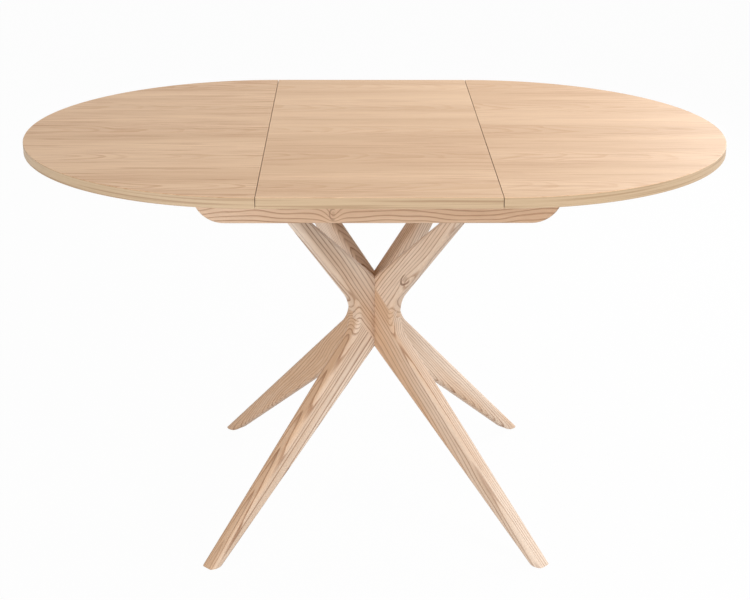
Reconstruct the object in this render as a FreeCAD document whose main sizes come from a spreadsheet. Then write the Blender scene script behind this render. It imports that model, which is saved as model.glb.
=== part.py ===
import FreeCAD
import Part
import Sketcher
import math
import os

# Round extending dining table in ash, modelled open with its folding leaf raised.
# +X runs along the pull-out direction, +Y to the rear, +Z up from the floor.

# Driving sizes in millimetres, written to the sheet under the same names
SIZES = {
    # Table top
    "table_height": 753.0,
    "top_thickness": 19.0,
    "top_radius": 450.0,
    "leaf_width": 400.0,
    "seam_gap": 1.2,
    "fold_gap": 0.4,
    "fold_rise": 0.3,
    "top_edge_chamfer": 1.0,
    "top_clearance": 0.5,
    # Limbs of the base, drawn in their own radial plane
    "limb_thickness": 32.0,
    "arris_round": 9.0,
    "foot_outer_radius": 443.8,
    "foot_width": 29.5,
    "heel_length": 11.0,
    "elbow_radius": 35.8,
    "arm_rise": 253.8,
    "notch_round": 66.0,
    "arm_outer_radius": 245.6,
    "arm_width": 27.9,
    "hub_back": 20.0,
    "arm_back_drop": 206.0,
    "hub_depth": 94.5,
    "lap_low_drop": 75.3,
    "lap_high_rise": 68.7,
    "lap_back": 60.0,
    "lap_reach": 120.0,
    "overrun": 30.0,
    "glide_height": 2.0,
    "glide_length": 16.0,
    "glide_width": 13.0,
    "glide_margin": 2.5,
    # Frame under the top
    "rail_length": 632.0,
    "rail_height": 66.0,
    "rail_thickness": 18.0,
    "rail_face": 313.0,
    "rail_corner": 54.0,
    "rail_chamfer": 1.5,
    "bearer_width": 56.0,
    "bearer_height": 20.0,
    "cross_width": 22.0,
    "cross_height": 22.0,
    "wood_chamfer": 1.5,
    # Extension slides
    "slide_place": 260.0,
    "slide_width": 16.0,
    "slide_height": 42.5,
    "slide_length": 660.0,
    "runner_gap": 2.0,
    "runner_width": 16.0,
    "runner_height": 25.0,
    "runner_outer_end": 455.0,
    "runner_inner_end": 60.0,
    "tongue_height": 8.0,
    "tongue_depth": 5.0,
    "tongue_below_top": 13.0,
    "tongue_clearance": 0.4,
    # Rack and pinion that make both tops move alike
    "gear_module": 2.0,
    "pinion_teeth": 10.0,
    "pinion_height": 6.0,
    "pinion_lift": 1.5,
    "axle_radius": 2.0,
    "tooth_addendum": 1.7,
    "tooth_dedendum": 2.4,
    "tooth_thickness": 2.4,
    "tooth_tip": 1.2,
    "rack_height": 9.0,
    "rack_back": 8.0,
    "rack_teeth": 40.0,
    "rack_lead_teeth": 8.0,
    "mortise_width": 27.0,
    "mortise_margin": 1.5,
    # Linkage that lifts the folded leaf over and lowers it into the well
    "leaf_shift": 225.0,
    "leaf_drop": 42.0,
    "front_bracket_place": 110.0,
    "rear_bracket_place": 210.0,
    "pivot_rise": 14.0,
    "pivot_plate_margin": 8.0,
    "pivot_plate": 2.0,
    "pin_radius": 4.0,
    "pin_clearance": 0.05,
    "side_clearance": 0.5,
    "swing_arm_thickness": 5.0,
    "swing_arm_width": 16.0,
    "rear_arm_inset": 13.5,
    "tie_radius": 5.0,
    "ear_gap": 1.0,
    "ear_thickness": 5.0,
    "ear_width": 18.0,
    "ear_corner": 5.0,
    "bracket_flange_length": 32.0,
    "bracket_flange_width": 40.0,
    "bracket_flange": 3.0,
    "rest_place_x": 100.0,
    "rest_place_y": 180.0,
    "rest_length": 60.0,
    "rest_width": 14.0,
    "rest_gap": 0.3,
    # Concealed barrel hinges of the leaf
    "barrel_radius": 6.0,
    "barrel_length": 18.0,
    "barrel_place": 150.0,
    "barrel_below_top": 8.5,
    "barrel_clearance": 0.05,
}

doc = FreeCAD.newDocument("ButterflyLeafTable")
sheet = doc.addObject("Spreadsheet::Sheet", "Sizes")
for row, (name, value) in enumerate(SIZES.items(), start=1):
    sheet.set(f"A{row}", name)
    sheet.set(f"B{row}", str(value))
    sheet.setAlias(f"B{row}", name)
doc.recompute()


class Size:
    """A length with its present value and the sheet formula that drives it."""

    def __init__(self, value, formula):
        self.value = value
        self.formula = formula

    def __add__(self, other):
        other = as_size(other)
        return Size(self.value + other.value, f"({self.formula} + {other.formula})")

    def __sub__(self, other):
        other = as_size(other)
        return Size(self.value - other.value, f"({self.formula} - {other.formula})")

    def __mul__(self, other):
        other = as_size(other)
        return Size(self.value * other.value, f"({self.formula} * {other.formula})")

    def __truediv__(self, other):
        other = as_size(other)
        return Size(self.value / other.value, f"({self.formula} / {other.formula})")

    def __neg__(self):
        return Size(-self.value, f"(-1 * {self.formula})")


def as_size(number):
    return number if isinstance(number, Size) else Size(float(number), repr(number))


class Sheet:
    """The driving sizes as attributes."""

    def __getattr__(self, name):
        return Size(SIZES[name], f"Sizes.{name}")


S = Sheet()
ZERO = as_size(0)
PI = Size(math.pi, "pi")
DIAGONAL_SHARE = Size(math.sqrt(0.5), "sqrt(0.5)")
# Three flats that follow a quarter round: the cut for the middle one, then for the two beside it
FLAT_SHARE = Size(2 - math.sqrt(2), "(2 - sqrt(2))")
EASE_SHARE = Size(math.tan(math.pi / 8) - math.tan(math.pi / 16), "(tan(22.5) - tan(11.25))")
UPRIGHT = FreeCAD.Rotation()
HALF_TURN = FreeCAD.Rotation(FreeCAD.Vector(0, 0, 1), 180)
REARWARD = FreeCAD.Rotation(FreeCAD.Vector(1, 0, 0), -90)
FORWARD = FreeCAD.Rotation(FreeCAD.Vector(1, 0, 0), 90)
# Flats that round the inner end of each sole
HEEL_FLATS = 3
PARTS = []

# Heights worked out from the top downwards
UNDERSIDE = S.table_height - S.top_thickness
SLIDE_TOP = UNDERSIDE - S.top_clearance
SLIDE_FOOT = SLIDE_TOP - S.slide_height
CROSS_FOOT = SLIDE_FOOT - S.cross_height
ARM_TOP = CROSS_FOOT - S.bearer_height
ELBOW_HEIGHT = ARM_TOP - S.arm_rise
ARM_BACK_HEIGHT = ARM_TOP - S.arm_back_drop
LEG_BACK_HEIGHT = ARM_BACK_HEIGHT - S.hub_depth
PIVOT_HEIGHT = CROSS_FOOT + S.pivot_rise
RACK_FOOT = UNDERSIDE - S.runner_height - S.rack_height

# Places across the table that several pieces share
CROSS_FACE = S.leaf_width / 2
CROSS_END = S.rail_face - S.rail_thickness
ARM_MIDDLE = S.arm_outer_radius - S.arm_width / 2
GLIDE_MIDDLE = S.foot_outer_radius - S.glide_margin - S.glide_width / 2
BEARER_PLACE = ARM_MIDDLE * DIAGONAL_SHARE
PITCH_RADIUS = S.gear_module * S.pinion_teeth / 2
TOOTH_PITCH = S.gear_module * PI
SWING_Y = S.leaf_shift / 2
SWING_Z = S.leaf_drop / 2
FRONT_ARM_FACE = CROSS_FACE - S.pivot_plate - S.side_clearance
REAR_ARM_FACE = FRONT_ARM_FACE - S.rear_arm_inset


def bind(item, path, size):
    item.setExpression(path, size.formula)


def settle(item, x, y, z, turn):
    item.Placement = FreeCAD.Placement(FreeCAD.Vector(x.value, y.value, z.value), turn)
    bind(item, "Placement.Base.x", x)
    bind(item, "Placement.Base.y", y)
    bind(item, "Placement.Base.z", z)


def place(item, label, x=ZERO, y=ZERO, z=ZERO, turn=UPRIGHT):
    item.Label = label
    settle(item, x, y, z, turn)
    PARTS.append(item)


def new_body(label):
    return doc.addObject("PartDesign::Body", label)


def new_sketch(body, role, offset=None):
    sketch = body.newObject("Sketcher::SketchObject", body.Name + "_sketch")
    plane = [item for item in body.Origin.OriginFeatures if item.Role == role][0]
    sketch.AttachmentSupport = [(plane, "")]
    sketch.MapMode = "FlatFace"
    if offset is not None:
        bind(sketch, "AttachmentOffset.Base.z", offset)
    return sketch


def fix_point(sketch, geometry, point, x, y):
    across = sketch.addConstraint(Sketcher.Constraint("DistanceX", -1, 1, geometry, point, x.value))
    bind(sketch, f"Constraints[{across}]", x)
    along = sketch.addConstraint(Sketcher.Constraint("DistanceY", -1, 1, geometry, point, y.value))
    bind(sketch, f"Constraints[{along}]", y)


def flat_vector(x, y):
    return FreeCAD.Vector(x.value, y.value, 0)


def add_polygon(sketch, points):
    first = sketch.GeometryCount
    count = len(points)
    for index, point in enumerate(points):
        after = points[(index + 1) % count]
        sketch.addGeometry(Part.LineSegment(flat_vector(*point), flat_vector(*after)), False)
    for index in range(count):
        joint = Sketcher.Constraint("Coincident", first + index, 2, first + (index + 1) % count, 1)
        sketch.addConstraint(joint)
    for index, (x, y) in enumerate(points):
        fix_point(sketch, first + index, 1, x, y)


def add_rectangle(sketch, low_x, low_y, high_x, high_y):
    add_polygon(sketch, [(low_x, low_y), (high_x, low_y), (high_x, high_y), (low_x, high_y)])


def add_circle(sketch, x, y, radius):
    circle = Part.Circle(flat_vector(x, y), FreeCAD.Vector(0, 0, 1), radius.value)
    index = sketch.addGeometry(circle, False)
    size = sketch.addConstraint(Sketcher.Constraint("Radius", index, radius.value))
    bind(sketch, f"Constraints[{size}]", radius)
    fix_point(sketch, index, 3, x, y)


def add_arc(sketch, x, y, radius, start, stop):
    circle = Part.Circle(flat_vector(x, y), FreeCAD.Vector(0, 0, 1), radius.value)
    index = sketch.addGeometry(Part.ArcOfCircle(circle, math.radians(start), math.radians(stop)), False)
    size = sketch.addConstraint(Sketcher.Constraint("Radius", index, radius.value))
    bind(sketch, f"Constraints[{size}]", radius)
    fix_point(sketch, index, 3, x, y)
    return index


def add_link(sketch, arc_a, end_a, arc_b, end_b, tangent=True):
    start = sketch.getPoint(arc_a, end_a)
    stop = sketch.getPoint(arc_b, end_b)
    line = sketch.addGeometry(Part.LineSegment(start, stop), False)
    kind = "Tangent" if tangent else "Coincident"
    sketch.addConstraint(Sketcher.Constraint(kind, arc_a, end_a, line, 1))
    sketch.addConstraint(Sketcher.Constraint(kind, line, 2, arc_b, end_b))
    return line


def pad(body, sketch, length, symmetric=False, backward=False):
    feature = body.newObject("PartDesign::Pad", body.Name + "_pad")
    feature.Profile = sketch
    feature.SideType = "Symmetric" if symmetric else "One side"
    feature.Reversed = backward
    bind(feature, "Length", length)
    doc.recompute()
    return feature


def pocket(body, sketch, length=None, symmetric=False, backward=False):
    before = body.Tip.Shape.Volume
    feature = body.newObject("PartDesign::Pocket", body.Name + "_pocket")
    feature.Profile = sketch
    feature.SideType = "Symmetric" if symmetric else "One side"
    feature.Reversed = backward
    if length is None:
        feature.Type = "ThroughAll"
    else:
        bind(feature, "Length", length)
    doc.recompute()
    if feature.Shape.isNull() or feature.Shape.Volume >= before:
        raise RuntimeError(f"{body.Name}: a pocket cut nothing")
    return feature


def dress_edges(body, kind, path, size, wanted):
    shape = body.Tip.Shape
    names = [f"Edge{index}" for index, edge in enumerate(shape.Edges, start=1) if wanted(edge)]
    base = body.Tip
    feature = body.newObject(kind, body.Name + "_edge")
    feature.Base = (base, names)
    bind(feature, path, size)
    doc.recompute()
    return feature


def fillet(body, radius, wanted):
    return dress_edges(body, "PartDesign::Fillet", "Radius", radius, wanted)


def chamfer(body, width, wanted):
    return dress_edges(body, "PartDesign::Chamfer", "Size", width, wanted)


def close_to(value, target):
    return abs(value - target.value) < S.fold_rise.value


def ends(edge):
    return [vertex.Point for vertex in edge.Vertexes]


def runs_along(edge, axis):
    points = ends(edge)
    if len(points) < 2:
        return False
    step = points[1] - points[0]
    return abs(abs(step.normalize().dot(axis)) - 1.0) < 1e-6


ALONG_X = FreeCAD.Vector(1, 0, 0)
ALONG_Y = FreeCAD.Vector(0, 1, 0)


# Limbs: an arm and a leg half-lapped at the elbow, mitred against their neighbours
def limb_blank(body):
    """Boomerang plank in the radial plane, its notch rounded and its arrises eased by three flats."""
    sketch = new_sketch(body, "XZ_Plane")
    add_polygon(sketch, [
        (S.foot_outer_radius - S.foot_width, S.glide_height),
        (S.foot_outer_radius, S.glide_height),
        (S.elbow_radius, ELBOW_HEIGHT),
        (S.arm_outer_radius, ARM_TOP),
        (S.arm_outer_radius - S.arm_width, ARM_TOP),
        (-S.hub_back, ARM_BACK_HEIGHT),
        (-S.hub_back, LEG_BACK_HEIGHT),
    ])
    pad(body, sketch, S.limb_thickness, symmetric=True)

    def is_elbow(edge):
        return all(close_to(p.x, S.elbow_radius) and close_to(p.z, ELBOW_HEIGHT) for p in ends(edge))

    fillet(body, S.notch_round, is_elbow)

    half = S.limb_thickness / 2
    flat = S.arris_round * FLAT_SHARE

    def runs_lengthways(edge, *depths):
        """Edge along the outline, at one of these depths to either side of the middle plane."""
        points = ends(edge)
        level = any(all(close_to(abs(p.y), depth) for p in points) for depth in depths)
        across_foot = all(close_to(p.z, S.glide_height) for p in points)
        across_top = all(close_to(p.z, ARM_TOP) for p in points)
        across_back = all(close_to(p.x, -S.hub_back) for p in points)
        one_side = points[0].y * points[-1].y > 0
        return level and one_side and not (across_foot or across_top or across_back)

    chamfer(body, flat, lambda edge: runs_lengthways(edge, half))
    chamfer(body, S.arris_round * EASE_SHARE, lambda edge: runs_lengthways(edge, half, half - flat))


def round_heel(body):
    """Flats that take the inner corner of the sole off in a curve, from the leg down to the floor."""
    heel = S.foot_outer_radius - S.foot_width
    leg_slope = (LEG_BACK_HEIGHT - S.glide_height) / (heel + S.hub_back)
    corners = []
    for step in range(HEEL_FLATS + 1):
        up_leg = S.heel_length * (1 - step / HEEL_FLATS) ** 2
        along_sole = S.heel_length * (step / HEEL_FLATS) ** 2
        corners.append((heel - up_leg + along_sole, S.glide_height + leg_slope * up_leg))
    below = S.glide_height - S.overrun
    inside = heel - S.heel_length - S.overrun
    sketch = new_sketch(body, "XZ_Plane")
    add_polygon(sketch, corners + [(heel + S.heel_length, below), (inside, below), (inside, corners[0][1])])
    pocket(body, sketch, symmetric=True)


def mitre(body):
    """Two upright faces at right angles, shared with the limbs on either side."""
    sketch = new_sketch(body, "XY_Plane", S.glide_height)
    wide = S.limb_thickness
    far = S.hub_back + S.overrun
    add_polygon(sketch, [(ZERO, ZERO), (wide, wide), (-far, wide), (-far, -wide), (wide, -wide)])
    pocket(body, sketch, backward=True)


def lap_line():
    """Far ends of the two shoulders: one follows the arm, the other follows the leg."""
    arm_slope = S.arm_rise / (S.arm_outer_radius - S.elbow_radius)
    leg_slope = (ELBOW_HEIGHT - S.glide_height) / (S.foot_outer_radius - S.elbow_radius)
    low_height = ELBOW_HEIGHT - S.lap_low_drop
    high_height = ELBOW_HEIGHT + S.lap_high_rise
    low = [(-S.lap_back, low_height - arm_slope * S.lap_back),
           (S.lap_reach, low_height + arm_slope * S.lap_reach)]
    high = [(-S.lap_back, high_height + leg_slope * S.lap_back),
            (S.lap_reach, high_height - leg_slope * S.lap_reach)]
    return low, high


def cut_lap(body, keep_arm):
    """Half of the elbow goes with the arm and half with the leg."""
    edge = ZERO - S.overrun if keep_arm else S.table_height
    far = S.foot_outer_radius + S.overrun
    for line, other_side in zip(lap_line(), (False, True)):
        sketch = new_sketch(body, "XZ_Plane")
        back, reach = line
        add_polygon(sketch, [back, reach, (far, reach[1]), (far, edge), (back[0], edge)])
        pocket(body, sketch, length=S.limb_thickness, backward=other_side)


def make_limbs():
    corners = {"front_left": 225, "front_right": 315, "rear_right": 45, "rear_left": 135}
    for corner, azimuth in corners.items():
        turn = FreeCAD.Rotation(FreeCAD.Vector(0, 0, 1), azimuth)
        for kind in ("leg", "arm"):
            body = new_body(f"{kind}_{corner}")
            limb_blank(body)
            if kind == "leg":
                round_heel(body)
            mitre(body)
            cut_lap(body, keep_arm=kind == "arm")
            place(body, f"{kind}_{corner}", turn=turn)
        glide = new_body(f"glide_{corner}")
        half_width = S.glide_width / 2
        half_length = S.glide_length / 2
        sketch = new_sketch(glide, "XY_Plane")
        inner = GLIDE_MIDDLE - half_width
        outer = GLIDE_MIDDLE + half_width
        add_rectangle(sketch, inner, -half_length, outer, half_length)
        pad(glide, sketch, S.glide_height)
        place(glide, f"glide_{corner}", turn=turn)


# Fixed frame under the top
def make_rail(label, turn, face):
    body = new_body(label)
    sketch = new_sketch(body, "XZ_Plane")
    half = S.rail_length / 2
    add_rectangle(sketch, -half, SLIDE_TOP - S.rail_height, half, SLIDE_TOP)
    pad(body, sketch, S.rail_thickness, backward=True)
    foot = SLIDE_TOP - S.rail_height

    def is_corner(edge):
        return runs_along(edge, ALONG_Y) and all(close_to(p.z, foot) for p in ends(edge))

    fillet(body, S.rail_corner, is_corner)

    def is_front_arris(edge):
        points = ends(edge)
        return all(close_to(p.y, ZERO) for p in points) and not all(close_to(p.z, SLIDE_TOP) for p in points)

    chamfer(body, S.rail_chamfer, is_front_arris)
    place(body, label, y=face, turn=turn)


def make_bar(label, length_x, length_y, height, x, y, foot):
    """Straight frame member with eased long edges, standing on its foot."""
    body = new_body(label)
    sketch = new_sketch(body, "XY_Plane")
    add_rectangle(sketch, -length_x / 2, -length_y / 2, length_x / 2, length_y / 2)
    pad(body, sketch, height)
    grain = ALONG_X if length_x.value > length_y.value else ALONG_Y
    chamfer(body, S.wood_chamfer, lambda edge: runs_along(edge, grain))
    place(body, label, x, y, foot)


def make_frame():
    make_rail("front_rail", UPRIGHT, -S.rail_face)
    make_rail("rear_rail", HALF_TURN, S.rail_face)
    span = S.leaf_width + S.cross_width * 2
    for label, side in (("front", -BEARER_PLACE), ("rear", BEARER_PLACE)):
        make_bar(f"{label}_bearer", span, S.bearer_width, S.bearer_height, ZERO, side, ARM_TOP)
    inset = CROSS_FACE + S.cross_width / 2
    for label, side in (("left", -inset), ("right", inset)):
        make_bar(f"{label}_cross_rail", S.cross_width, CROSS_END * 2, S.cross_height, side, ZERO, CROSS_FOOT)
    stowed_foot = UNDERSIDE - S.leaf_drop - S.rest_gap
    for label, side in (("front", -S.rest_place_y), ("rear", S.rest_place_y)):
        block = doc.addObject("Part::Box", f"{label}_stow_rest")
        bind(block, "Length", S.rest_place_x * 2 + S.rest_length)
        bind(block, "Width", S.rest_width)
        bind(block, "Height", stowed_foot - CROSS_FOOT)
        corner_x = -S.rest_place_x - S.rest_length / 2
        place(block, f"{label}_stow_rest", corner_x, side - S.rest_width / 2, CROSS_FOOT)


# Extension slides with a rack on each runner and a pinion between them
def make_centre_slide(label, side):
    body = new_body(label)
    sketch = new_sketch(body, "YZ_Plane")
    half = S.slide_width / 2
    groove_top = SLIDE_TOP + S.top_clearance - S.tongue_below_top + S.tongue_height / 2 + S.tongue_clearance
    groove_foot = groove_top - S.tongue_height - S.tongue_clearance * 2
    floor = half - S.tongue_depth
    right = [(half, SLIDE_FOOT), (half, groove_foot), (floor, groove_foot), (floor, groove_top),
             (half, groove_top), (half, SLIDE_TOP)]
    left = [(-y, z) for y, z in reversed(right)]
    add_polygon(sketch, right + left)
    pad(body, sketch, S.slide_length, symmetric=True)
    window = new_sketch(body, "XZ_Plane")
    low = RACK_FOOT - S.mortise_margin + S.pinion_lift
    high = RACK_FOOT + S.pinion_lift + S.pinion_height + S.mortise_margin
    add_rectangle(window, -S.mortise_width / 2, low, S.mortise_width / 2, high)
    pocket(body, window, symmetric=True)
    place(body, label, y=side)
    axle = doc.addObject("Part::Cylinder", label + "_axle")
    bind(axle, "Radius", S.axle_radius)
    bind(axle, "Height", high - low)
    place(axle, label + "_axle", ZERO, side, low)


def make_pinion(label, side):
    body = new_body(label)
    root = PITCH_RADIUS - S.tooth_dedendum
    tip = PITCH_RADIUS + S.tooth_addendum
    disc = new_sketch(body, "XY_Plane")
    add_circle(disc, ZERO, ZERO, root)
    pad(body, disc, S.pinion_height)
    tooth = new_sketch(body, "XY_Plane")
    flank = (S.tooth_thickness - S.tooth_tip) / 2 / S.tooth_addendum
    root_half = S.tooth_thickness / 2 + flank * S.tooth_dedendum
    tip_half = S.tooth_tip / 2
    seat = root - S.tooth_dedendum / 2
    add_polygon(tooth, [(-root_half, seat), (root_half, seat), (root_half, root), (tip_half, tip),
                        (-tip_half, tip), (-root_half, root)])
    feature = pad(body, tooth, S.pinion_height)
    ring = body.newObject("PartDesign::PolarPattern", body.Name + "_ring")
    ring.Originals = [feature]
    ring.Axis = (tooth, ["N_Axis"])
    ring.Angle = 360
    bind(ring, "Occurrences", S.pinion_teeth)
    body.Tip = ring
    doc.recompute()
    bore = new_sketch(body, "XY_Plane")
    add_circle(bore, ZERO, ZERO, S.axle_radius + S.pin_clearance)
    pocket(body, bore, backward=True)
    place(body, label, ZERO, side, RACK_FOOT + S.pinion_lift)


def make_runner(label, side, inward, turn):
    """Runner under a top, with its tongue on the side that faces the centre slide."""
    body = new_body(label)
    sketch = new_sketch(body, "YZ_Plane")
    face = S.slide_width / 2 + S.runner_gap
    back = face + S.runner_width
    tip = S.slide_width / 2 - S.tongue_depth + S.tongue_clearance
    middle = UNDERSIDE - S.tongue_below_top
    low = middle - S.tongue_height / 2
    high = middle + S.tongue_height / 2
    foot = UNDERSIDE - S.runner_height
    outline = [(back, foot), (back, UNDERSIDE), (face, UNDERSIDE), (face, high),
               (tip, high), (tip, low), (face, low), (face, foot)]
    add_polygon(sketch, [(y * inward, z) for y, z in outline])
    pad(body, sketch, S.runner_outer_end + S.runner_inner_end)
    relief = new_sketch(body, "XZ_Plane", None)
    add_rectangle(relief, S.runner_outer_end - S.leaf_width / 2 - S.seam_gap, SLIDE_TOP,
                  S.runner_outer_end + S.runner_inner_end + S.overrun, UNDERSIDE + S.overrun)
    pocket(body, relief, symmetric=True)
    start = -S.runner_outer_end if turn is UPRIGHT else S.runner_outer_end
    place(body, label, start, side, turn=turn)


def make_rack(label, side, inward, turn):
    body = new_body(label)
    root = PITCH_RADIUS + S.tooth_dedendum
    tip = PITCH_RADIUS - S.tooth_addendum
    back = root + S.rack_back
    length = TOOTH_PITCH * S.rack_teeth
    strip = new_sketch(body, "XY_Plane")
    add_rectangle(strip, ZERO, root * inward, length, back * inward)
    pad(body, strip, S.rack_height)
    tooth = new_sketch(body, "XY_Plane")
    flank = (S.tooth_thickness - S.tooth_tip) / 2 / S.tooth_addendum
    root_half = S.tooth_thickness / 2 + flank * S.tooth_dedendum
    tip_half = S.tooth_tip / 2
    middle = TOOTH_PITCH / 2
    seat = root + S.tooth_dedendum / 2
    outline = [(middle - root_half, seat), (middle - root_half, root), (middle - tip_half, tip),
               (middle + tip_half, tip), (middle + root_half, root), (middle + root_half, seat)]
    add_polygon(tooth, [(x, y * inward) for x, y in outline])
    feature = pad(body, tooth, S.rack_height)
    row = body.newObject("PartDesign::LinearPattern", body.Name + "_row")
    row.Originals = [feature]
    row.Direction = (tooth, ["H_Axis"])
    bind(row, "Length", TOOTH_PITCH * (S.rack_teeth - 1))
    bind(row, "Occurrences", S.rack_teeth)
    body.Tip = row
    doc.recompute()
    lead = TOOTH_PITCH * S.rack_lead_teeth
    start = lead - length
    place(body, label, start if turn is UPRIGHT else -start, side, RACK_FOOT, turn)


def make_slides():
    for depth, sign in (("front", -1), ("rear", 1)):
        side = S.slide_place * sign
        make_centre_slide(f"{depth}_centre_slide", side)
        make_pinion(f"{depth}_pinion", side)
        make_runner(f"left_{depth}_runner", side, sign, UPRIGHT)
        make_rack(f"left_{depth}_rack", side, sign, UPRIGHT)
        make_runner(f"right_{depth}_runner", side, sign, HALF_TURN)
        make_rack(f"right_{depth}_rack", side, sign, HALF_TURN)


# Tops and leaf
def make_top(label, side, turn):
    body = new_body(label)
    sketch = new_sketch(body, "XY_Plane")
    rim = add_arc(sketch, ZERO, ZERO, S.top_radius, 90, 270)
    edge = add_link(sketch, rim, 2, rim, 1, tangent=False)
    sketch.addConstraint(Sketcher.Constraint("Vertical", edge))
    seam = -S.seam_gap / 2
    gap = sketch.addConstraint(Sketcher.Constraint("DistanceX", -1, 1, edge, 1, seam.value))
    bind(sketch, f"Constraints[{gap}]", seam)
    pad(body, sketch, S.top_thickness)
    chamfer(body, S.top_edge_chamfer, lambda part: part.Curve.TypeId == "Part::GeomCircle")
    place(body, label, side, ZERO, UNDERSIDE, turn)


def make_leaf(label, turn):
    body = new_body(label)
    half = (S.leaf_width - S.seam_gap) / 2
    sketch = new_sketch(body, "XY_Plane")
    add_rectangle(sketch, -half, S.fold_gap / 2, half, S.top_radius)
    pad(body, sketch, S.top_thickness)

    def is_free_edge(edge):
        return runs_along(edge, ALONG_X) and all(close_to(p.y, S.top_radius) for p in ends(edge))

    chamfer(body, S.top_edge_chamfer, is_free_edge)
    bores = new_sketch(body, "XZ_Plane")
    height = S.top_thickness - S.barrel_below_top
    for share in (-1, 0, 1):
        add_circle(bores, S.barrel_place * share, height, S.barrel_radius + S.barrel_clearance)
    pocket(body, bores, length=S.barrel_length + S.fold_gap / 2)
    place(body, label, z=UNDERSIDE, turn=turn)


def make_barrels(label, turn, sign):
    """One half of each concealed hinge, let into the edge of the leaf along the fold."""
    barrels = []
    for share in (-1, 0, 1):
        barrel = doc.addObject("Part::Cylinder", label + "_one")
        bind(barrel, "Radius", S.barrel_radius)
        bind(barrel, "Height", S.barrel_length)
        start = S.fold_gap / 2 * sign
        settle(barrel, S.barrel_place * share, start, S.table_height - S.barrel_below_top, turn)
        barrels.append(barrel)
    group = doc.addObject("Part::Compound", label)
    group.Links = barrels
    place(group, label)


def make_tops():
    make_top("left_top", -S.leaf_width / 2, UPRIGHT)
    make_top("right_top", S.leaf_width / 2, HALF_TURN)
    make_leaf("rear_leaf", UPRIGHT)
    make_leaf("front_leaf", HALF_TURN)
    make_barrels("rear_leaf_hinge_barrels", REARWARD, 1)
    make_barrels("front_leaf_hinge_barrels", FORWARD, -1)


# Swing yokes, pivot plates and brackets that carry the leaf
def add_arm(body, middle):
    """Flat arm with an eye at each end, across the yoke's middle plane."""
    sketch = new_sketch(body, "YZ_Plane", middle)
    half = S.swing_arm_width / 2
    near = add_arc(sketch, ZERO, ZERO, half, 100, 280)
    far = add_arc(sketch, SWING_Y, SWING_Z, half, -80, 100)
    add_link(sketch, near, 2, far, 1)
    add_link(sketch, far, 2, near, 1)
    for centre in ((ZERO, ZERO), (SWING_Y, SWING_Z)):
        add_circle(sketch, *centre, S.pin_radius + S.pin_clearance)
    pad(body, sketch, S.swing_arm_thickness, symmetric=True)


def make_yoke(label, middle, y):
    """Two swing arms welded to the ends of a tie rod."""
    body = new_body(label)
    add_arm(body, middle)
    tie = new_sketch(body, "YZ_Plane")
    add_circle(tie, SWING_Y / 2, SWING_Z / 2, S.tie_radius)
    pad(body, tie, middle * 2, symmetric=True)
    add_arm(body, -middle)
    place(body, label, ZERO, y, PIVOT_HEIGHT)


def make_pivot_plate(label, sign, pins, turn):
    """Strip on the inner face of a cross rail with the two fixed pivot pins riveted in it."""
    body = new_body(label)
    strip = new_sketch(body, "YZ_Plane")
    margin = S.pivot_plate_margin
    low = pins[0][0] - margin
    high = pins[-1][0] + margin
    add_rectangle(strip, low * sign, -margin, high * sign, margin)
    pad(body, strip, S.pivot_plate, backward=True)
    for y, reach in pins:
        pin = new_sketch(body, "YZ_Plane")
        add_circle(pin, y * sign, ZERO, S.pin_radius)
        pad(body, pin, reach, backward=True)
    place(body, label, CROSS_FACE * sign, ZERO, PIVOT_HEIGHT, turn)


def make_bracket(label, side, y, turn):
    """Angle bracket under the leaf with the moving pivot pin riveted in its ear."""
    body = new_body(label)
    drop = UNDERSIDE - PIVOT_HEIGHT - SWING_Z
    half = S.ear_width / 2
    inner = half - S.ear_corner
    ear = new_sketch(body, "YZ_Plane")
    add_polygon(ear, [(-half, drop), (-half, -inner), (-inner, -half), (inner, -half),
                      (half, -inner), (half, drop)])
    pad(body, ear, S.ear_thickness, backward=True)
    flange = new_sketch(body, "XY_Plane", drop - S.bracket_flange)
    wide = S.bracket_flange_width / 2
    add_rectangle(flange, -S.bracket_flange_length, -wide, ZERO, wide)
    pad(body, flange, S.bracket_flange)
    pin = new_sketch(body, "YZ_Plane")
    add_circle(pin, ZERO, ZERO, S.pin_radius)
    pad(body, pin, S.ear_gap + S.swing_arm_thickness + S.side_clearance)
    place(body, label, side, y, PIVOT_HEIGHT + SWING_Z, turn)


def make_linkage():
    hands = (("left", -1, HALF_TURN), ("right", 1, UPRIGHT))
    pairs = (("front", FRONT_ARM_FACE, S.front_bracket_place), ("rear", REAR_ARM_FACE, S.rear_bracket_place))
    pins = []
    for pair, face, bracket_y in pairs:
        pivot_y = bracket_y - SWING_Y
        make_yoke(f"{pair}_swing_yoke", face - S.swing_arm_thickness / 2, pivot_y)
        ear = face - S.swing_arm_thickness - S.ear_gap
        for hand, sign, turn in hands:
            make_bracket(f"{pair}_{hand}_bracket", ear * sign, bracket_y, turn)
        pins.append((pivot_y, CROSS_FACE - face + S.swing_arm_thickness + S.side_clearance))
    for hand, sign, turn in hands:
        make_pivot_plate(f"{hand}_pivot_plate", sign, pins, turn)


make_limbs()
make_frame()
make_slides()
make_tops()
make_linkage()
doc.recompute()

# Every object has to be sound before anything is written
for item in doc.Objects:
    if "Invalid" in item.State or "Error" in item.State:
        raise RuntimeError(f"{item.Label} failed: {item.State}")
for item in PARTS:
    if item.Shape.isNull() or not item.Shape.isValid():
        raise RuntimeError(f"{item.Label} has no valid shape")

os.makedirs("parts", exist_ok=True)
for item in PARTS:
    item.Shape.exportStep(f"parts/{item.Label}.step")
print(len(PARTS), "sub-parts written")
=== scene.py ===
import collections
import math

import bmesh
import bpy
from mathutils import Matrix, Vector


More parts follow.
